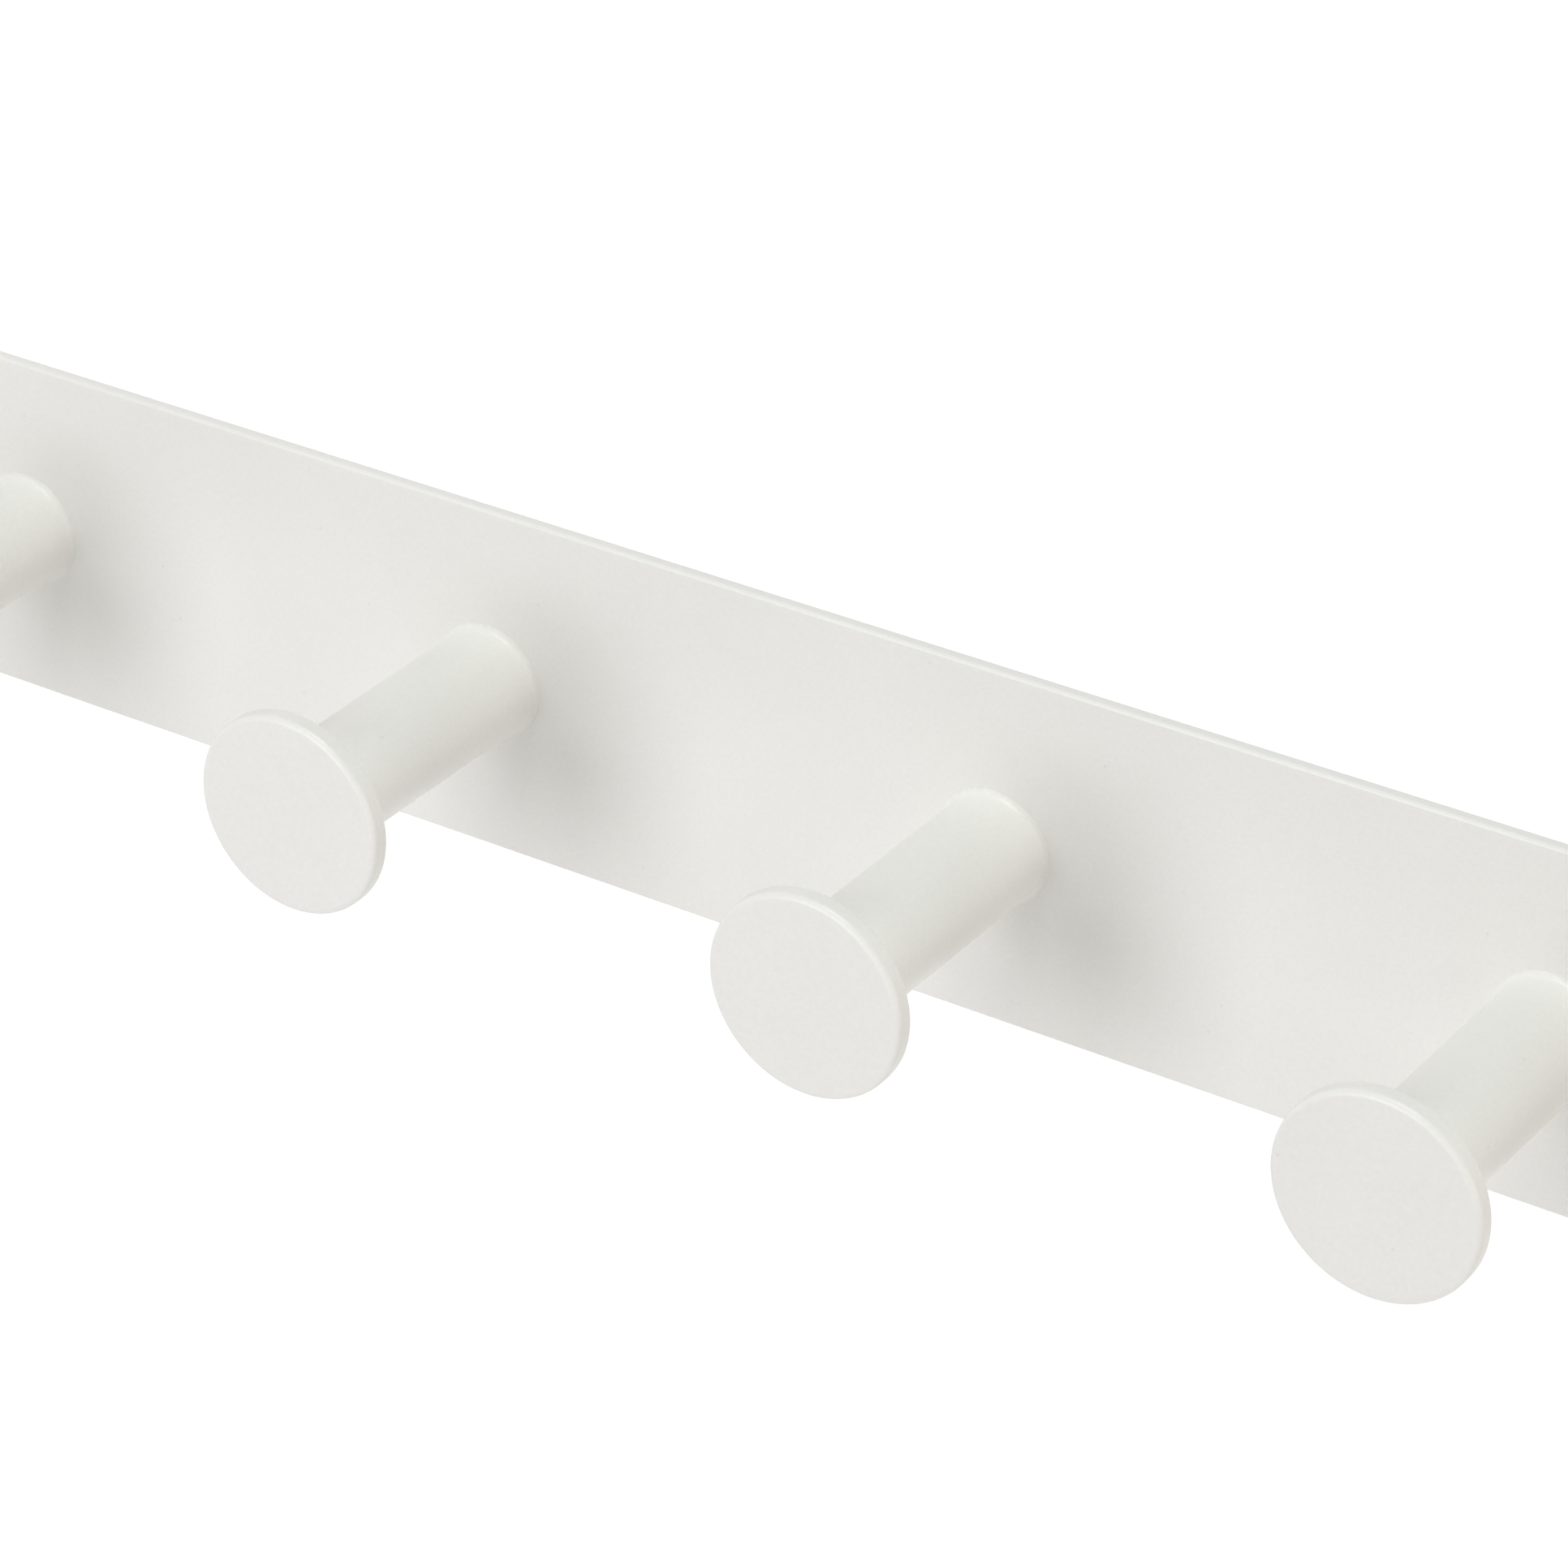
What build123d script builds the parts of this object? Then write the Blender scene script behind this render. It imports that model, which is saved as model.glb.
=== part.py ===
from build123d import *
import os

# A coat rail that hangs on a wall: a flat steel strip with a row of flanged pegs, screwed on from behind,
# and two pressed hangers with keyholes that slip over wall screws.
# +X runs along the rail, +Z is up and the wall is the plane Y = 0. The pegs point along -Y, into the room.
# The origin is on the wall plane, behind the middle of the rail. All sizes are in millimetres.

# Rail
rail_height = 64.5
rail_thickness = 2.2
rail_end_margin = 50.0
rail_corner_radius = 3.0
rail_front_edge_radius = 0.65
rail_back_edge_radius = 0.3
rail_standoff = 7.5

# Pegs
peg_count = 6
peg_pitch = 100.0
peg_length = 55.0
shaft_diameter = 19.3
head_diameter = 35.5
head_thickness = 3.7
head_edge_radius = 1.0
neck_radius = 0.5
foot_spread = 0.9
foot_rim_height = 0.15
foot_cove_height = 0.9

# Peg screws, metric with a pan head and a cross recess
screw_diameter = 5.0
screw_length = 16.0
screw_tip_chamfer = 0.6
screw_head_diameter = 9.5
screw_head_height = 3.7
screw_head_round = 1.7
recess_width = 1.2
recess_span = 5.0
recess_depth = 2.3
recess_taper = 12.0
rail_hole_clearance = 0.25
thread_clearance = 0.05
tapped_hole_spare = 3.0
tapped_hole_chamfer = 0.5

# Split spring washers
washer_diameter = 9.2
washer_thickness = 1.2
washer_bore_clearance = 0.1
washer_slit = 0.6

# Hangers, pressed from strip
hanger_thickness = 1.5
hanger_height = 34.0
hanger_bend_radius = 1.5
hanger_flange_reach = 12.0
hanger_land_width = 52.0
hanger_leg_run = 5.0
hanger_corner_radius = 4.0
keyhole_entry_diameter = 10.5
keyhole_slot_width = 5.2
keyhole_lift = 10.0
keyhole_entry_height = -4.0

# Stick-on bumpers
bumper_diameter = 12.0
bumper_end_inset = 14.0
bumper_edge_inset = 10.0
bumper_taper = 8.0
bumper_edge_radius = 1.0

# Places worked out from the sizes
rail_length = (peg_count - 1) * peg_pitch + 2 * rail_end_margin
rail_front = rail_standoff + rail_thickness
peg_places = [(i - (peg_count - 1) / 2) * peg_pitch for i in range(peg_count)]
hanger_places = {
    "left": peg_places[0] + peg_pitch / 2,
    "right": peg_places[-1] - peg_pitch / 2,
}
hanger_pegs = (0, 1, peg_count - 2, peg_count - 1)
shaft_radius = shaft_diameter / 2
head_radius = head_diameter / 2
foot_radius = shaft_radius + foot_spread
screw_radius = screw_diameter / 2
rail_hole_radius = screw_radius + rail_hole_clearance
tapped_hole_radius = screw_radius + thread_clearance
tapped_hole_depth = screw_length - rail_thickness - washer_thickness + tapped_hole_spare

os.makedirs("parts", exist_ok=True)


def washer_seat(peg):
    """Distance from the wall to the face that a peg's washer bears on."""
    if peg in hanger_pegs:
        return rail_standoff - hanger_thickness
    return rail_standoff


def lathe_plane(x):
    """Plane through a peg's axis: local X is the radius, local Y runs from the wall plane into the room."""
    return Plane(origin=(x, 0, 0), x_dir=(1, 0, 0), z_dir=(0, 0, -1))


def lathe_axis(x):
    """Axis that a peg and its screw and washer share."""
    return Axis((x, 0, 0), (0, -1, 0))


# Rail
with BuildPart() as rail:
    with BuildSketch(Plane.XZ.offset(rail_standoff)):
        RectangleRounded(rail_length, rail_height, rail_corner_radius)
    extrude(amount=rail_thickness)
    fillet(rail.faces().sort_by(Axis.Y)[0].edges(), rail_front_edge_radius)
    fillet(rail.faces().sort_by(Axis.Y)[-1].edges(), rail_back_edge_radius)
    with BuildSketch(Plane.XZ.offset(rail_standoff)):
        with Locations(*[(x, 0) for x in peg_places]):
            Circle(rail_hole_radius)
    extrude(amount=rail_thickness, mode=Mode.SUBTRACT)
rail.part.label = "rail"
export_step(rail.part, "parts/rail.step")

# Pegs: a turned profile with a flared foot, a disc head and a blind tapped hole from the back
head_back = rail_front + peg_length - head_thickness
head_front = rail_front + peg_length
cove_end = rail_front + foot_rim_height + foot_cove_height
hole_end = rail_front + tapped_hole_depth
for i, x in enumerate(peg_places):
    with BuildPart() as peg:
        with BuildSketch(lathe_plane(x)):
            with BuildLine():
                Polyline(
                    (0, hole_end + tapped_hole_radius),
                    (tapped_hole_radius, hole_end),
                    (tapped_hole_radius, rail_front + tapped_hole_chamfer),
                    (tapped_hole_radius + tapped_hole_chamfer, rail_front),
                    (foot_radius, rail_front),
                    (foot_radius, rail_front + foot_rim_height),
                )
                EllipticalCenterArc(
                    (foot_radius, cove_end),
                    foot_spread,
                    foot_cove_height,
                    start_angle=180,
                    arc_size=90,
                )
                Line((shaft_radius, cove_end), (shaft_radius, head_back - neck_radius))
                RadiusArc(
                    (shaft_radius, head_back - neck_radius),
                    (shaft_radius + neck_radius, head_back),
                    neck_radius,
                )
                Line((shaft_radius + neck_radius, head_back), (head_radius - head_edge_radius, head_back))
                RadiusArc(
                    (head_radius - head_edge_radius, head_back),
                    (head_radius, head_back + head_edge_radius),
                    -head_edge_radius,
                )
                Line((head_radius, head_back + head_edge_radius), (head_radius, head_front - head_edge_radius))
                RadiusArc(
                    (head_radius, head_front - head_edge_radius),
                    (head_radius - head_edge_radius, head_front),
                    -head_edge_radius,
                )
                Polyline(
                    (head_radius - head_edge_radius, head_front),
                    (0, head_front),
                    (0, hole_end + tapped_hole_radius),
                )
            make_face()
        revolve(axis=lathe_axis(x))
    peg.part.label = f"peg_{i + 1}"
    export_step(peg.part, f"parts/peg_{i + 1}.step")

# Split spring washers, drawn flat
for i, x in enumerate(peg_places):
    with BuildPart() as washer:
        with BuildSketch(Plane.XZ.offset(washer_seat(i))):
            with Locations((x, 0)):
                Circle(washer_diameter / 2)
                Circle(screw_radius + washer_bore_clearance, mode=Mode.SUBTRACT)
            with Locations((x, washer_diameter / 2)):
                Rectangle(washer_slit, washer_diameter, mode=Mode.SUBTRACT)
        extrude(amount=-washer_thickness)
    washer.part.label = f"lock_washer_{i + 1}"
    export_step(washer.part, f"parts/lock_washer_{i + 1}.step")

# Peg screws
for i, x in enumerate(peg_places):
    head_seat = washer_seat(i) - washer_thickness
    screw_tip = head_seat + screw_length
    with BuildPart() as screw:
        with BuildSketch(lathe_plane(x)):
            with BuildLine():
                Polyline(
                    (0, head_seat - screw_head_height),
                    (screw_head_diameter / 2, head_seat - screw_head_height),
                    (screw_head_diameter / 2, head_seat),
                    (screw_radius, head_seat),
                    (screw_radius, screw_tip - screw_tip_chamfer),
                    (screw_radius - screw_tip_chamfer, screw_tip),
                    (0, screw_tip),
                    close=True,
                )
            make_face()
        revolve(axis=lathe_axis(x))
        fillet(screw.faces().sort_by(Axis.Y)[-1].edges(), screw_head_round)
        with BuildSketch(Plane.XZ.offset(head_seat - screw_head_height)):
            with Locations((x, 0)):
                Rectangle(recess_span, recess_width)
                Rectangle(recess_width, recess_span)
        extrude(amount=recess_depth, taper=recess_taper, mode=Mode.SUBTRACT)
    screw.part.label = f"peg_screw_{i + 1}"
    export_step(screw.part, f"parts/peg_screw_{i + 1}.step")

# Hangers: a strip that is dished back to the wall between two pegs, with a keyhole in its land
for side, x in hanger_places.items():
    flange_end = peg_pitch / 2 + hanger_flange_reach
    land_end = hanger_land_width / 2
    leg_end = land_end + hanger_leg_run
    with BuildPart() as hanger:
        with BuildSketch(Plane.XY.offset(-hanger_height / 2)):
            with BuildLine():
                FilletPolyline(
                    (x - flange_end, -rail_standoff),
                    (x - leg_end, -rail_standoff),
                    (x - land_end, -hanger_thickness),
                    (x + land_end, -hanger_thickness),
                    (x + leg_end, -rail_standoff),
                    (x + flange_end, -rail_standoff),
                    radius=hanger_bend_radius + hanger_thickness,
                )
                offset(amount=hanger_thickness, side=Side.LEFT)
            make_face()
        extrude(amount=hanger_height)
        fillet(hanger.edges().filter_by(Axis.Y), hanger_corner_radius)
        with BuildSketch(Plane.XZ.offset(rail_standoff)):
            with Locations((x - peg_pitch / 2, 0), (x + peg_pitch / 2, 0)):
                Circle(rail_hole_radius)
            with Locations((x, keyhole_entry_height)):
                Circle(keyhole_entry_diameter / 2)
            with Locations((x, keyhole_entry_height + keyhole_lift / 2)):
                SlotCenterToCenter(keyhole_lift, keyhole_slot_width, rotation=90)
        extrude(amount=-rail_standoff, mode=Mode.SUBTRACT)
    hanger.part.label = f"hanger_{side}"
    export_step(hanger.part, f"parts/hanger_{side}.step")

# Stick-on bumpers at the back corners of the rail
bumper_x = rail_length / 2 - bumper_end_inset
bumper_z = rail_height / 2 - bumper_edge_inset
for level, z in (("top", bumper_z), ("bottom", -bumper_z)):
    for side, x in (("left", -bumper_x), ("right", bumper_x)):
        with BuildPart() as bumper:
            with BuildSketch(Plane.XZ.offset(rail_standoff)):
                with Locations((x, z)):
                    Circle(bumper_diameter / 2)
            extrude(amount=-rail_standoff, taper=bumper_taper)
            fillet(bumper.faces().sort_by(Axis.Y)[-1].edges(), bumper_edge_radius)
        bumper.part.label = f"bumper_{level}_{side}"
        export_step(bumper.part, f"parts/bumper_{level}_{side}.step")
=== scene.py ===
import math

import bmesh
import bpy
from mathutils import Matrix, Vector


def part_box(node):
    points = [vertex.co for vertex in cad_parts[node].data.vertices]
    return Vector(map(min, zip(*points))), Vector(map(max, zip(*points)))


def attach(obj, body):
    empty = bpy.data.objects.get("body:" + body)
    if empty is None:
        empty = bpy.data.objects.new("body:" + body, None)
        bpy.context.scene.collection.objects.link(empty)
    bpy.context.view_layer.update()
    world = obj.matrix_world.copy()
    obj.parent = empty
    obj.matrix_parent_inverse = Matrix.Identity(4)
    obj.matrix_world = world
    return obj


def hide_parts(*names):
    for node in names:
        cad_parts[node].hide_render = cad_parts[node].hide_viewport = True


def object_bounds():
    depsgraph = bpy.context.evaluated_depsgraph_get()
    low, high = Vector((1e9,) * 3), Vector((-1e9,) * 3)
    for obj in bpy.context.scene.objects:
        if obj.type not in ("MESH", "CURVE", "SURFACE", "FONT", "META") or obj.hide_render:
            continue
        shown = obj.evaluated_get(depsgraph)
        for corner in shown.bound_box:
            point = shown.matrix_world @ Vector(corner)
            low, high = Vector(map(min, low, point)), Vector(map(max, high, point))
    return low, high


# A wall-hung coat rail in satin white powder coat, with its fixings behind it, on a plain white stage.
# The pieces' sizes are in millimetres and are turned into metres where a mesh is made. A depth is the
# distance from the wall plane, Y = 0, into the room, along -Y.
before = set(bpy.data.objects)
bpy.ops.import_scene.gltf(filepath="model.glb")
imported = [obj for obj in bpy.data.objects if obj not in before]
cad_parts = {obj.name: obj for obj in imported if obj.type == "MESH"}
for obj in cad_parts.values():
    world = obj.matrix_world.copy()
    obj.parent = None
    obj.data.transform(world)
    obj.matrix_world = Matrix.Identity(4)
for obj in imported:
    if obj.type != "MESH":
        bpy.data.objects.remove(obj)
cad_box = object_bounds()

MM = 0.001

# Edges that turn by more degrees than this are shaded as sharp
sharp_turn = 40.0

# Rail: its length, height and thickness come from its solid
rail_corner_radius = 3.0
rail_front_edge_radius = 0.65
rail_back_edge_radius = 0.3
rail_hole_radius = 2.75
corner_steps = 12
edge_steps = 8
hole_steps = 40

# Pegs: their places, length and head diameter come from their solids
peg_count = 6
shaft_radius = 9.65
head_thickness = 3.7
head_edge_radius = 1.0
neck_radius = 0.5
foot_radius = 10.5
foot_rim_height = 0.12
foot_rim_radius = 0.08
foot_cove_height = 1.1
tapped_hole_radius = 2.55
tapped_hole_depth = 15.6
tapped_hole_chamfer = 0.5
foot_rim_steps = 6
foot_cove_steps = 12
neck_steps = 6
head_edge_steps = 10
head_face_rings = 3
peg_segments = 192

# Peg screws, metric, with a pan head and a cross recess
screw_radius = 2.5
screw_head_height = 3.7
screw_head_round = 1.7
screw_head_steps = 8
screw_top_ring_share = 0.45
screw_seat_round = 0.2
screw_seat_steps = 3
screw_tip_chamfer = 0.6
thread_pitch = 0.8
thread_depth = 0.43
thread_rings_per_turn = 8
plain_shank_length = 1.6
recess_span = 5.0
recess_width = 1.2
recess_depth = 2.3
recess_taper = 12.0
recess_overshoot = 0.5
screw_segments = 48
screw_sharp_turn = 50.0

# Split spring washers
washer_bore_radius = 2.6
washer_chamfer = 0.15
washer_slit = 0.6
washer_slit_slant = 0.35
washer_segments = 72
washer_sharp_turn = 30.0

# Hangers, pressed from strip
hanger_thickness = 1.5
hanger_bend_radius = 3.0
hanger_land_width = 52.0
hanger_leg_run = 5.0
hanger_corner_radius = 4.0
hanger_corner_steps = 8
hanger_edge_round = 0.2
hanger_edge_steps = 3
hanger_edge_turn = 50.0
hanger_bend_steps = 10
keyhole_entry_radius = 5.25
keyhole_slot_radius = 2.6
keyhole_lift = 10.0
keyhole_entry_height = -4.0
spangle_size = 3.2

# Stick-on bumpers
bumper_taper = 8.0
bumper_ring_spread = 0.4
bumper_ring_height = 3.0
bumper_edge_radius = 1.0
bumper_edge_steps = 8
bumper_dimple_radius = 2.2
bumper_dimple_depth = 0.35
bumper_dimple_steps = 8
bumper_segments = 72

# Camera, in metres and degrees, with its lens and sensor in millimetres
camera_place = Vector((0.4909, -0.7302, 0.4963))
camera_azimuth = 33.73
camera_elevation = 29.86
camera_lens = 140.3
camera_sensor = 36.0

# Stage and light, in metres, degrees and watts. The key is a tall softbox, nearly frontal, a little left of
# the rail's normal and above it. The others are reflectors and softboxes that fill in from the other sides.
# The floor's glow grows with the distance from the lit spot, over the reach, between the two strengths.
floor_drop = 0.35
floor_half_width = 12.0
floor_colour = (0.9, 0.9, 0.9)
lit_spot = (0.35, -0.6)
glow_reach = (0.4, 1.7)
glow_strength = (0.01, 0.82)
light_aim = Vector((0.05, -0.03, 0.0))
fill_strength = 0.274
fill_colour = (1.0, 0.935, 0.917)
lamps = {
    "key": {
        "azimuth": -17, "elevation": 11, "distance": 1.8, "width": 0.8, "height": 1.2,
        "power": 13.6, "colour": (0.955, 0.976, 1.0),
    },
    "top": {
        "azimuth": 20, "elevation": 82, "distance": 2.2, "width": 0.7, "height": 0.7,
        "power": 19.4, "colour": (0.92, 1.0, 0.981),
    },
    "right": {
        "azimuth": 80, "elevation": 0, "distance": 1.2, "width": 0.5, "height": 0.7,
        "power": 3.3, "colour": (1.0, 0.943, 0.88),
    },
    "back_right": {
        "azimuth": 140, "elevation": 35, "distance": 1.4, "width": 1.0, "height": 1.0,
        "power": 2.2, "colour": (0.88, 0.95, 1.0),
    },
    "back_left": {
        "azimuth": -120, "elevation": 35, "distance": 1.4, "width": 0.7, "height": 0.7,
        "power": 1.6, "colour": (1.0, 0.82, 0.84),
    },
}


def direction(azimuth, elevation):
    """Unit vector from the object: azimuth 0 points into the room along -Y, and 90 along +X."""
    a = math.radians(azimuth)
    e = math.radians(elevation)
    return Vector((math.sin(a) * math.cos(e), -math.cos(a) * math.cos(e), math.sin(e)))


def arc(centre, radii, start, end, steps):
    """Points on an ellipse's arc, from the start angle to the end angle in degrees, both included."""
    points = []
    for i in range(steps + 1):
        angle = math.radians(start + (end - start) * i / steps)
        points.append((centre[0] + radii[0] * math.cos(angle), centre[1] + radii[1] * math.sin(angle)))
    return points


def vertex(bm, x, depth, z):
    """Vertex given in millimetres, with its depth into the room."""
    return bm.verts.new((x * MM, -depth * MM, z * MM))


def bridge(bm, ring, other):
    """Faces between two closed rings of as many vertices, or between a ring and a single vertex."""
    count = max(len(ring), len(other))
    for i in range(count):
        j = (i + 1) % count
        if len(ring) == 1:
            bm.faces.new((ring[0], other[j], other[i]))
        elif len(other) == 1:
            bm.faces.new((ring[i], ring[j], other[0]))
        else:
            bm.faces.new((ring[i], ring[j], other[j], other[i]))


def lathe(bm, profile, x, z, segments):
    """Surface turned about an axis along Y, from (radius, depth) points.

    A radius of 0 is a pole, and a radius can be a function of the angle.
    """
    rings = []
    for radius, depth in profile:
        if radius == 0:
            rings.append([vertex(bm, x, depth, z)])
            continue
        ring = []
        for i in range(segments):
            angle = 2 * math.pi * i / segments
            r = radius(angle) if callable(radius) else radius
            ring.append(vertex(bm, x + r * math.cos(angle), depth, z + r * math.sin(angle)))
        rings.append(ring)
    for ring, other in zip(rings, rings[1:]):
        bridge(bm, ring, other)


def loop_edges(bm, ring):
    """Edges round a closed ring of vertices, made where they are missing."""
    edges = []
    for vert, after in zip(ring, ring[1:] + ring[:1]):
        edges.append(bm.edges.get((vert, after)) or bm.edges.new((vert, after)))
    return edges


def fill_with_holes(bm, outline, holes):
    """Flat face inside an outline, with the holes left open."""
    edges = loop_edges(bm, outline)
    for hole in holes:
        edges += loop_edges(bm, hole)
    bmesh.ops.triangle_fill(bm, use_beauty=True, use_dissolve=False, edges=edges)


def finish_mesh(bm, name, sharp_angle=sharp_turn):
    """Object of a mesh, smooth except along its sharp edges."""
    bmesh.ops.recalc_face_normals(bm, faces=bm.faces)
    mesh = bpy.data.meshes.new(name)
    bm.to_mesh(mesh)
    bm.free()
    mesh.polygons.foreach_set("use_smooth", [True] * len(mesh.polygons))
    mesh.set_sharp_from_angle(angle=math.radians(sharp_angle))
    piece = bpy.data.objects.new(name, mesh)
    bpy.context.scene.collection.objects.link(piece)
    return piece


def keep_flats_flat(piece):
    """Weights the shading by face area, so that flat faces stay flat beside their rounded edges."""
    weighted = piece.modifiers.new("flat_faces", "WEIGHTED_NORMAL")
    weighted.keep_sharp = True


def dress(piece, node, material):
    """Puts a finished piece in the place of its solid."""
    keep_flats_flat(piece)
    piece.data.materials.append(material)
    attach(piece, "root")
    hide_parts(node)


# Materials


def new_material(name, roughness, metallic=0.0):
    """Material with its shader, and the coordinates that its textures share, in metres."""
    material = bpy.data.materials.new(name)
    material.use_nodes = True
    tree = material.node_tree
    shader = tree.nodes["Principled BSDF"]
    shader.inputs["Roughness"].default_value = roughness
    shader.inputs["Metallic"].default_value = metallic
    place = tree.nodes.new("ShaderNodeTexCoord").outputs["Object"]
    return material, tree, shader, place


def noise(tree, place, size, detail=2.0, roughness=0.5):
    """Noise with blobs of about that size, in millimetres, from 0 to 1."""
    node = tree.nodes.new("ShaderNodeTexNoise")
    node.inputs["Scale"].default_value = 1 / (size * MM)
    node.inputs["Detail"].default_value = detail
    node.inputs["Roughness"].default_value = roughness
    tree.links.new(place, node.inputs["Vector"])
    return node.outputs["Fac"]


def stretch(tree, place, scale):
    """The same coordinates, stretched by a factor along each axis."""
    node = tree.nodes.new("ShaderNodeMapping")
    node.inputs["Scale"].default_value = scale
    tree.links.new(place, node.inputs["Vector"])
    return node.outputs["Vector"]


def cells(tree, place, size, feature="F1"):
    """Voronoi cells of about that size, in millimetres."""
    node = tree.nodes.new("ShaderNodeTexVoronoi")
    node.feature = feature
    node.inputs["Scale"].default_value = 1 / (size * MM)
    tree.links.new(place, node.inputs["Vector"])
    return node


def ramp(tree, value, low, high, dark, light):
    """Maps a value from low..high to a range or, with two colours, to a blend of them."""
    if isinstance(dark, tuple):
        node = tree.nodes.new("ShaderNodeValToRGB")
        start, end = node.color_ramp.elements
        start.position = low
        end.position = high
        start.color = (*dark, 1.0)
        end.color = (*light, 1.0)
        tree.links.new(value, node.inputs["Fac"])
        return node.outputs["Color"]
    node = tree.nodes.new("ShaderNodeMapRange")
    tree.links.new(value, node.inputs["Value"])
    for socket, number in (("From Min", low), ("From Max", high), ("To Min", dark), ("To Max", light)):
        node.inputs[socket].default_value = number
    return node.outputs["Result"]


def bump(tree, height, depth, under=None):
    """Normal of a surface with that height map, whose full depth is in millimetres."""
    node = tree.nodes.new("ShaderNodeBump")
    node.inputs["Distance"].default_value = depth * MM
    tree.links.new(height, node.inputs["Height"])
    if under is not None:
        tree.links.new(under, node.inputs["Normal"])
    return node.outputs["Normal"]


def powder_coat():
    """Satin white powder coat: orange peel, a fine speckled grain, and a few tiny pits darkened with painted
    shade.
    """
    material, tree, shader, place = new_material("powder_coat", roughness=0.4)
    shader.inputs["IOR"].default_value = 1.5
    cloud = noise(tree, place, size=30.0, detail=3.0)
    pit = cells(tree, place, size=9.0).outputs["Distance"]
    paint = ramp(tree, cloud, 0.35, 0.65, (0.87, 0.86, 0.825), (0.885, 0.875, 0.84))
    # Each pit's centre is darkened in the base colour, down to 0.91: painted shade in the pit. The same
    # value also sets the pit's dip in the bump.
    pit_shade_and_depth = ramp(tree, pit, 0.015, 0.04, 0.91, 1.0)
    speckle = noise(tree, place, size=0.7, detail=2.0)
    speck = ramp(tree, speckle, 0.3, 0.7, 0.985, 1.015)
    shade = tree.nodes.new("ShaderNodeMath")
    shade.operation = "MULTIPLY"
    tree.links.new(pit_shade_and_depth, shade.inputs[0])
    tree.links.new(speck, shade.inputs[1])
    mix = tree.nodes.new("ShaderNodeMix")
    mix.data_type = "RGBA"
    mix.blend_type = "MULTIPLY"
    mix.inputs["Factor"].default_value = 1.0
    tree.links.new(paint, mix.inputs["A"])
    tree.links.new(shade.outputs["Value"], mix.inputs["B"])
    tree.links.new(mix.outputs["Result"], shader.inputs["Base Color"])
    grain = noise(tree, place, size=0.3, detail=2.0)
    tree.links.new(ramp(tree, grain, 0.3, 0.7, 0.36, 0.44), shader.inputs["Roughness"])
    peel = bump(tree, noise(tree, place, size=1.3, detail=1.0), depth=0.012)
    fine = bump(tree, grain, depth=0.007, under=peel)
    tree.links.new(bump(tree, pit_shade_and_depth, depth=0.0065, under=fine), shader.inputs["Normal"])
    return material


def zinc_plate():
    """Bright zinc with a faint chromate tint and fine scratches."""
    material, tree, shader, place = new_material("zinc_plate", roughness=0.3, metallic=1.0)
    tint = noise(tree, place, size=2.5, detail=3.0)
    tone = ramp(tree, tint, 0.3, 0.7, (0.66, 0.65, 0.6), (0.6, 0.64, 0.7))
    tree.links.new(tone, shader.inputs["Base Color"])
    scratch = noise(tree, stretch(tree, place, (1.0, 1.0, 12.0)), size=1.2, detail=2.0)
    tree.links.new(ramp(tree, scratch, 0.3, 0.7, 0.22, 0.4), shader.inputs["Roughness"])
    tree.links.new(bump(tree, scratch, depth=0.004), shader.inputs["Normal"])
    return material


def spring_steel():
    """Dull plated spring steel, a little blotchy."""
    material, tree, shader, place = new_material("spring_steel", roughness=0.45, metallic=1.0)
    blotch = noise(tree, place, size=1.2, detail=4.0, roughness=0.6)
    tone = ramp(tree, blotch, 0.3, 0.7, (0.4, 0.4, 0.4), (0.5, 0.51, 0.53))
    tree.links.new(tone, shader.inputs["Base Color"])
    tree.links.new(ramp(tree, blotch, 0.3, 0.7, 0.38, 0.55), shader.inputs["Roughness"])
    tree.links.new(bump(tree, noise(tree, place, size=0.25), depth=0.004), shader.inputs["Normal"])
    return material


def galvanised_steel():
    """Galvanised sheet: small spangles of different brightness, with faint rolling lines."""
    material, tree, shader, place = new_material("galvanised_steel", roughness=0.4, metallic=1.0)
    spangle = cells(tree, place, size=spangle_size)
    shade = tree.nodes.new("ShaderNodeSeparateColor")
    tree.links.new(spangle.outputs["Color"], shade.inputs["Color"])
    tone = ramp(tree, shade.outputs["Red"], 0.0, 1.0, (0.5, 0.52, 0.545), (0.66, 0.68, 0.695))
    tree.links.new(tone, shader.inputs["Base Color"])
    tree.links.new(ramp(tree, shade.outputs["Green"], 0.0, 1.0, 0.32, 0.5), shader.inputs["Roughness"])
    rolled = noise(tree, stretch(tree, place, (1.0, 1.0, 25.0)), size=6.0, detail=2.0)
    lines = bump(tree, rolled, depth=0.01)
    border = cells(tree, place, size=spangle_size, feature="DISTANCE_TO_EDGE").outputs["Distance"]
    seam = ramp(tree, border, 0.0, 0.06, 0.0, 1.0)
    tree.links.new(bump(tree, seam, depth=0.006, under=lines), shader.inputs["Normal"])
    return material


def bumper_rubber():
    """Matte grey rubber with a fine moulded grain and a little dust."""
    material, tree, shader, place = new_material("bumper_rubber", roughness=0.7)
    dust = noise(tree, place, size=1.0, detail=4.0, roughness=0.65)
    tone = ramp(tree, dust, 0.3, 0.75, (0.57, 0.58, 0.57), (0.66, 0.665, 0.65))
    tree.links.new(tone, shader.inputs["Base Color"])
    tree.links.new(ramp(tree, dust, 0.3, 0.7, 0.62, 0.78), shader.inputs["Roughness"])
    tree.links.new(bump(tree, noise(tree, place, size=0.2), depth=0.012), shader.inputs["Normal"])
    return material


# Pieces


def rounded_rectangle(width, height, radius, inset):
    """Outline of a rectangle with rounded corners, drawn in from its edge, as (x, z) points."""
    right = width / 2 - radius
    top = height / 2 - radius
    r = radius - inset
    corners = ((right, top, 0), (-right, top, 90), (-right, -top, 180), (right, -top, 270))
    points = []
    for x, z, start in corners:
        points += arc((x, z), (r, r), start, start + 90, corner_steps)
    return points


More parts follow.
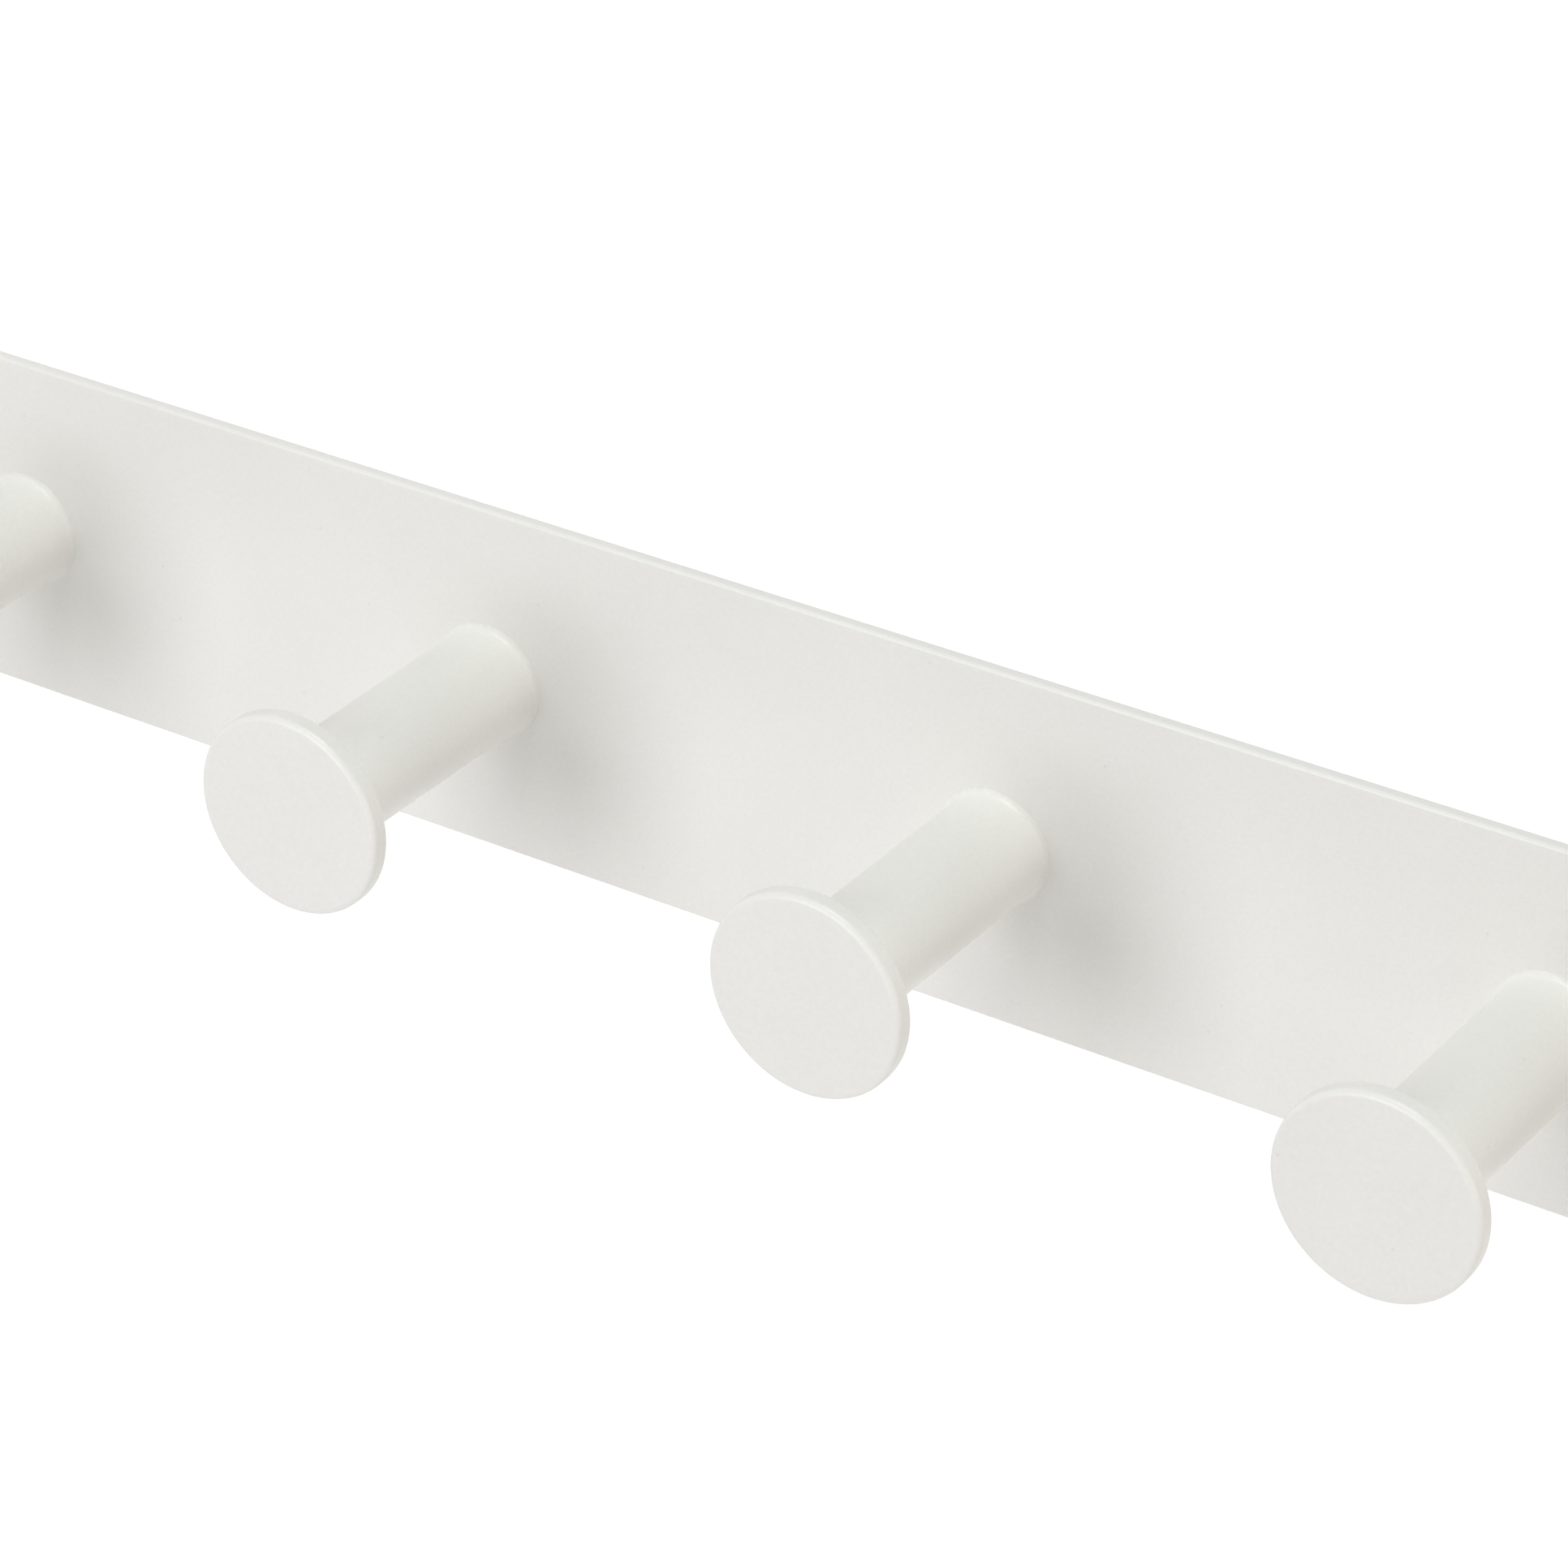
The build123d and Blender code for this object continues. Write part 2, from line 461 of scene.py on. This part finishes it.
def build_rail(material):
    """Flat strip with rounded corners and edges, and a hole behind each peg."""
    low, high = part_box("rail")
    width = (high.x - low.x) / MM
    height = (high.z - low.z) / MM
    back = -high.y / MM
    front = -low.y / MM
    back_round = arc(
        (rail_back_edge_radius, back + rail_back_edge_radius),
        (rail_back_edge_radius, rail_back_edge_radius), 270, 180, edge_steps,
    )
    front_round = arc(
        (rail_front_edge_radius, front - rail_front_edge_radius),
        (rail_front_edge_radius, rail_front_edge_radius), 180, 90, edge_steps,
    )
    bm = bmesh.new()
    rings = []
    for inset, depth in back_round + front_round:
        outline = rounded_rectangle(width, height, rail_corner_radius, inset)
        rings.append([vertex(bm, x, depth, z) for x, z in outline])
    for ring, other in zip(rings, rings[1:]):
        bridge(bm, ring, other)
    back_holes = []
    front_holes = []
    for i in range(peg_count):
        low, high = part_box(f"peg_{i + 1}")
        x = (low.x + high.x) / 2 / MM
        circle = arc((x, 0), (rail_hole_radius, rail_hole_radius), 0, 360, hole_steps)[:-1]
        back_holes.append([vertex(bm, px, back, pz) for px, pz in circle])
        front_holes.append([vertex(bm, px, front, pz) for px, pz in circle])
        bridge(bm, back_holes[-1], front_holes[-1])
    fill_with_holes(bm, rings[0], back_holes)
    fill_with_holes(bm, rings[-1], front_holes)
    dress(finish_mesh(bm, "rail_strip"), "rail", material)


def build_peg(number, material):
    """Turned peg: a foot that flares to a thin rim, a shaft, a disc head and a blind tapped hole."""
    node = f"peg_{number}"
    low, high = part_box(node)
    x = (low.x + high.x) / 2 / MM
    foot = -high.y / MM
    front = -low.y / MM
    head_radius = (high.x - low.x) / 2 / MM
    head_back = front - head_thickness
    rim = foot + foot_rim_height
    hole_end = foot + tapped_hole_depth
    profile = [
        (0, hole_end + tapped_hole_radius),
        (tapped_hole_radius, hole_end),
        (tapped_hole_radius, foot + tapped_hole_chamfer),
        (tapped_hole_radius + tapped_hole_chamfer, foot),
        (foot_radius, foot),
    ]
    edge = (foot_rim_radius, foot_rim_radius)
    profile += arc((foot_radius - foot_rim_radius, rim - foot_rim_radius), edge, 0, 90, foot_rim_steps)
    cove = (foot_radius - foot_rim_radius - shaft_radius, foot_cove_height)
    profile += arc((shaft_radius + cove[0], rim + cove[1]), cove, 270, 180, foot_cove_steps)[1:]
    profile.append((shaft_radius, (rim + head_back) / 2))
    neck = (neck_radius, neck_radius)
    profile += arc((shaft_radius + neck_radius, head_back - neck_radius), neck, 180, 90, neck_steps)
    rim_centre = head_radius - head_edge_radius
    edge = (head_edge_radius, head_edge_radius)
    profile += arc((rim_centre, head_back + head_edge_radius), edge, 270, 360, head_edge_steps)
    profile += arc((rim_centre, front - head_edge_radius), edge, 0, 90, head_edge_steps)
    profile += [(rim_centre * k / head_face_rings, front) for k in reversed(range(head_face_rings))]
    bm = bmesh.new()
    lathe(bm, profile, x, 0, peg_segments)
    dress(finish_mesh(bm, f"peg_body_{number}"), node, material)


def cross_cutter(x, top):
    """Tapered cross for the recess in a screw's head, as an object to cut with."""
    half = recess_span / 2
    wide = recess_width / 2
    outline = [(half, -wide), (half, wide), (wide, wide), (wide, half), (-wide, half), (-wide, wide)]
    outline += [(-a, -b) for a, b in outline]
    levels = ((top - recess_overshoot, -recess_overshoot), (top + recess_depth, recess_depth))
    bm = bmesh.new()
    rings = []
    for depth, cut in levels:
        shrink = math.tan(math.radians(recess_taper)) * cut
        ring = [
            vertex(bm, x + a - math.copysign(shrink, a), depth, b - math.copysign(shrink, b))
            for a, b in outline
        ]
        rings.append(ring)
    bridge(bm, rings[0], rings[1])
    bm.faces.new(rings[0])
    bm.faces.new(rings[1])
    return finish_mesh(bm, "recess_cutter")


def cut(piece, cutter):
    """Takes the cutter's shape out of a piece and deletes the cutter."""
    modifier = piece.modifiers.new("cut", "BOOLEAN")
    modifier.operation = "DIFFERENCE"
    modifier.solver = "EXACT"
    modifier.object = cutter
    graph = bpy.context.evaluated_depsgraph_get()
    mesh = bpy.data.meshes.new_from_object(piece.evaluated_get(graph))
    piece.modifiers.clear()
    piece.data = mesh
    bpy.data.objects.remove(cutter)


def thread_radius(angle, depth, crest):
    """Radius of a right-hand thread's surface at an angle and a depth."""
    phase = (depth / thread_pitch - angle / (2 * math.pi)) % 1.0
    groove = 1 - abs(2 * phase - 1)
    return min(crest, screw_radius - thread_depth * groove)


def build_screw(number, material):
    """Pan-head screw with a threaded shank and a cross recess."""
    node = f"peg_screw_{number}"
    low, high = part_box(node)
    x = (low.x + high.x) / 2 / MM
    top = -high.y / MM
    tip = -low.y / MM
    head_radius = (high.x - low.x) / 2 / MM
    seat = top + screw_head_height
    profile = [(0, top), (head_radius * screw_top_ring_share, top)]
    profile += arc(
        (head_radius - screw_head_round, top + screw_head_round),
        (screw_head_round, screw_head_round), 270, 360, screw_head_steps,
    )
    profile += arc(
        (head_radius - screw_seat_round, seat - screw_seat_round),
        (screw_seat_round, screw_seat_round), 0, 90, screw_seat_steps,
    )
    profile += [(screw_radius, seat), (screw_radius, seat + plain_shank_length)]
    thread_start = seat + plain_shank_length
    ring_count = round((tip - thread_start) / thread_pitch * thread_rings_per_turn)
    for i in range(1, ring_count + 1):
        depth = thread_start + (tip - thread_start) * i / ring_count
        crest = min(screw_radius, screw_radius - screw_tip_chamfer + tip - depth)
        profile.append((lambda angle, d=depth, c=crest: thread_radius(angle, d, c), depth))
    profile.append((0, tip))
    bm = bmesh.new()
    lathe(bm, profile, x, 0, screw_segments)
    piece = finish_mesh(bm, f"screw_body_{number}", screw_sharp_turn)
    cut(piece, cross_cutter(x, top))
    piece.data.set_sharp_from_angle(angle=math.radians(screw_sharp_turn))
    dress(piece, node, material)


def build_washer(number, material):
    """Split spring washer, pressed flat, with a slanted slit at its top."""
    node = f"lock_washer_{number}"
    low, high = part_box(node)
    x = (low.x + high.x) / 2 / MM
    outer = (high.x - low.x) / 2 / MM
    back = -high.y / MM
    front = -low.y / MM
    inner = washer_bore_radius
    c = washer_chamfer
    section = [
        (inner, back + c), (inner + c, back), (outer - c, back), (outer, back + c),
        (outer, front - c), (outer - c, front), (inner + c, front), (inner, front - c),
    ]
    middle = (back + front) / 2
    bm = bmesh.new()
    rings = []
    for i in range(washer_segments + 1):
        ring = []
        for radius, depth in section:
            half_slit = washer_slit / 2 / radius
            skew = washer_slit_slant * (depth - middle) / radius
            turn = half_slit + (2 * math.pi - 2 * half_slit) * i / washer_segments
            angle = math.pi / 2 + turn + skew
            ring.append(vertex(bm, x + radius * math.cos(angle), depth, radius * math.sin(angle)))
        rings.append(ring)
    for ring, other in zip(rings, rings[1:]):
        bridge(bm, ring, other)
    bm.faces.new(rings[0])
    bm.faces.new(rings[-1])
    piece = finish_mesh(bm, f"washer_ring_{number}", washer_sharp_turn)
    dress(piece, node, material)


def hanger_path(flange_depth, land_depth):
    """The strip's room side seen from above: (x, depth) points from the land's end to the flange's start."""
    land_end = hanger_land_width / 2
    slope = math.degrees(math.atan2(flange_depth - land_depth, hanger_leg_run))
    back_off = hanger_bend_radius * math.tan(math.radians(slope / 2))
    radii = (hanger_bend_radius, hanger_bend_radius)
    centre = (land_end - back_off, land_depth + hanger_bend_radius)
    points = arc(centre, radii, 270, 270 + slope, hanger_bend_steps)
    leg_end = land_end + hanger_leg_run
    centre = (leg_end + back_off, flange_depth - hanger_bend_radius)
    points += arc(centre, radii, 90 + slope, 90, hanger_bend_steps)
    return points


def face_room(piece):
    """Turns an open sheet's faces to the room side."""
    if sum(face.normal.y * face.area for face in piece.data.polygons) > 0:
        piece.data.flip_normals()


def peg_pitch():
    """Distance between neighbouring pegs."""
    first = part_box("peg_1")
    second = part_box("peg_2")
    return (second[0].x - first[0].x) / MM


def keyhole_outline():
    """Round entry with a slot above it, as (x, z) points about the hanger's middle."""
    shoulder = math.degrees(math.asin(keyhole_slot_radius / keyhole_entry_radius))
    entry = (keyhole_entry_radius, keyhole_entry_radius)
    slot = (keyhole_slot_radius, keyhole_slot_radius)
    points = arc((0, keyhole_entry_height), entry, 90 + shoulder, 450 - shoulder, hole_steps)
    points += arc((0, keyhole_entry_height + keyhole_lift), slot, 0, 180, hole_steps // 2)
    return points


def build_hanger(side, material):
    """Pressed strip: a flange under each of two peg screws, dished legs, and a keyholed land on the wall."""
    node = f"hanger_{side}"
    low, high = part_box(node)
    x = (low.x + high.x) / 2 / MM
    flange_end = (high.x - low.x) / 2 / MM
    half = (high.z - low.z) / 2 / MM
    flange_depth = -low.y / MM
    land_depth = -high.y / MM + hanger_thickness
    path = hanger_path(flange_depth, land_depth)
    bm = bmesh.new()
    sides = {}
    for sign in (-1, 1):
        rows = []
        for px, depth in path:
            rows.append([vertex(bm, x + sign * px, depth, -half), vertex(bm, x + sign * px, depth, half)])
        for row, after in zip(rows, rows[1:]):
            bm.faces.new((row[0], after[0], after[1], row[1]))
        sides[sign] = rows
    land = [sides[-1][0][0], sides[1][0][0], sides[1][0][1], sides[-1][0][1]]
    keyhole = [vertex(bm, x + px, land_depth, pz) for px, pz in keyhole_outline()]
    fill_with_holes(bm, land, [keyhole])
    corner = hanger_corner_radius
    end = flange_end - corner
    tip = arc((end, half - corner), (corner, corner), 90, 0, hanger_corner_steps)
    tip += arc((end, corner - half), (corner, corner), 0, -90, hanger_corner_steps)
    circle = arc((peg_pitch() / 2, 0), (rail_hole_radius, rail_hole_radius), 0, 360, hole_steps)[:-1]
    for sign in (-1, 1):
        root = sides[sign][-1]
        outline = [root[1]] + [vertex(bm, x + sign * px, flange_depth, pz) for px, pz in tip] + [root[0]]
        hole = [vertex(bm, x + sign * px, flange_depth, pz) for px, pz in circle]
        fill_with_holes(bm, outline, [hole])
    piece = finish_mesh(bm, f"hanger_strip_{side}")
    face_room(piece)
    thicken = piece.modifiers.new("sheet", "SOLIDIFY")
    thicken.thickness = hanger_thickness * MM
    thicken.offset = -1.0
    thicken.use_even_offset = True
    soften = piece.modifiers.new("deburred_edges", "BEVEL")
    soften.width = hanger_edge_round * MM
    soften.segments = hanger_edge_steps
    soften.limit_method = "ANGLE"
    soften.angle_limit = math.radians(hanger_edge_turn)
    dress(piece, node, material)


def build_bumper(level, side, material):
    """Tapered stick-on bumper with a rounded edge and a shallow moulded dimple."""
    node = f"bumper_{level}_{side}"
    low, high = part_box(node)
    x = (low.x + high.x) / 2 / MM
    z = (low.z + high.z) / 2 / MM
    base = -low.y / MM
    face = -high.y / MM
    base_radius = (high.x - low.x) / 2 / MM
    face_radius = base_radius - math.tan(math.radians(bumper_taper)) * (base - face)
    edge = bumper_edge_radius
    dimple = (bumper_dimple_radius, bumper_dimple_depth)
    profile = [(0, base), (base_radius, base)]
    profile.append((face_radius + bumper_ring_spread, face + bumper_ring_height))
    profile += arc((face_radius - edge, face + edge), (edge, edge), -bumper_taper, -90, bumper_edge_steps)
    profile += arc((0, face), dimple, 0, 90, bumper_dimple_steps)[:-1]
    profile.append((0, face + bumper_dimple_depth))
    bm = bmesh.new()
    lathe(bm, profile, x, z, bumper_segments)
    dress(finish_mesh(bm, f"bumper_pad_{level}_{side}"), node, material)


# Stage


def seen_directly(tree):
    """1 for the camera's rays and for what gloss and glass show, 0 for the rays that light a surface."""
    path = tree.nodes.new("ShaderNodeLightPath")
    seen = path.outputs["Is Camera Ray"]
    for ray in ("Is Glossy Ray", "Is Transmission Ray"):
        either = tree.nodes.new("ShaderNodeMath")
        either.operation = "MAXIMUM"
        tree.links.new(seen, either.inputs[0])
        tree.links.new(path.outputs[ray], either.inputs[1])
        seen = either.outputs["Value"]
    return seen


def build_world():
    """Even white surroundings that fill the shadows."""
    world = bpy.data.worlds.new("studio")
    world.use_nodes = True
    tree = world.node_tree
    tree.nodes.clear()
    fill = tree.nodes.new("ShaderNodeBackground")
    fill.inputs["Color"].default_value = (*fill_colour, 1.0)
    fill.inputs["Strength"].default_value = fill_strength
    white = tree.nodes.new("ShaderNodeBackground")
    white.inputs["Color"].default_value = (1.0, 1.0, 1.0, 1.0)
    mix = tree.nodes.new("ShaderNodeMixShader")
    tree.links.new(seen_directly(tree), mix.inputs["Fac"])
    tree.links.new(fill.outputs["Background"], mix.inputs[1])
    tree.links.new(white.outputs["Background"], mix.inputs[2])
    out = tree.nodes.new("ShaderNodeOutputWorld")
    tree.links.new(mix.outputs["Shader"], out.inputs["Surface"])
    bpy.context.scene.world = world


def build_floor():
    """Plain white floor below the rail. It keeps the shadow and glows up to white away from the lit spot."""
    mesh = bpy.data.meshes.new("floor")
    half = floor_half_width
    z = cad_box[0].z - floor_drop
    corners = [(-half, -half, z), (half, -half, z), (half, half, z), (-half, half, z)]
    mesh.from_pydata(corners, [], [(0, 1, 2, 3)])
    floor = bpy.data.objects.new("floor", mesh)
    bpy.context.scene.collection.objects.link(floor)
    material = bpy.data.materials.new("floor_white")
    material.use_nodes = True
    tree = material.node_tree
    tree.nodes.clear()
    matte = tree.nodes.new("ShaderNodeBsdfDiffuse")
    matte.inputs["Color"].default_value = (*floor_colour, 1.0)
    spread = tree.nodes.new("ShaderNodeVectorMath")
    spread.operation = "DISTANCE"
    spread.inputs[1].default_value = (*lit_spot, z)
    place = tree.nodes.new("ShaderNodeTexCoord").outputs["Object"]
    tree.links.new(place, spread.inputs[0])
    glow = tree.nodes.new("ShaderNodeEmission")
    strength = ramp(tree, spread.outputs["Value"], *glow_reach, *glow_strength)
    tree.links.new(strength, glow.inputs["Strength"])
    lifted = tree.nodes.new("ShaderNodeAddShader")
    tree.links.new(matte.outputs["BSDF"], lifted.inputs[0])
    tree.links.new(glow.outputs["Emission"], lifted.inputs[1])
    mix = tree.nodes.new("ShaderNodeMixShader")
    tree.links.new(seen_directly(tree), mix.inputs["Fac"])
    tree.links.new(matte.outputs["BSDF"], mix.inputs[1])
    tree.links.new(lifted.outputs["Shader"], mix.inputs[2])
    out = tree.nodes.new("ShaderNodeOutputMaterial")
    tree.links.new(mix.outputs["Shader"], out.inputs["Surface"])
    mesh.materials.append(material)


def softbox(name, azimuth, elevation, distance, width, height, power, colour):
    """Rectangular area lamp that faces the pegs."""
    lamp = bpy.data.lights.new(name, "AREA")
    lamp.shape = "RECTANGLE"
    lamp.size = width
    lamp.size_y = height
    lamp.energy = power
    lamp.color = colour
    holder = bpy.data.objects.new(name, lamp)
    away = direction(azimuth, elevation)
    holder.location = light_aim + away * distance
    holder.rotation_euler = away.to_track_quat("Z", "Y").to_euler()
    bpy.context.scene.collection.objects.link(holder)


def build_camera():
    """Camera where the photograph was taken from."""
    lens = bpy.data.cameras.new("camera")
    lens.lens = camera_lens
    lens.sensor_width = camera_sensor
    camera = bpy.data.objects.new("camera", lens)
    camera.location = camera_place
    camera.rotation_euler = (math.radians(90 - camera_elevation), 0, math.radians(camera_azimuth))
    bpy.context.scene.collection.objects.link(camera)
    bpy.context.scene.camera = camera


coat = powder_coat()
build_rail(coat)
for i in range(peg_count):
    build_peg(i + 1, coat)
zinc = zinc_plate()
spring = spring_steel()
for i in range(peg_count):
    build_screw(i + 1, zinc)
    build_washer(i + 1, spring)
galvanised = galvanised_steel()
rubber = bumper_rubber()
for side in ("left", "right"):
    build_hanger(side, galvanised)
    for level in ("top", "bottom"):
        build_bumper(level, side, rubber)

build_world()
build_floor()
for name, settings in lamps.items():
    softbox(name, **settings)
build_camera()
bpy.context.scene.view_settings.view_transform = "Standard"
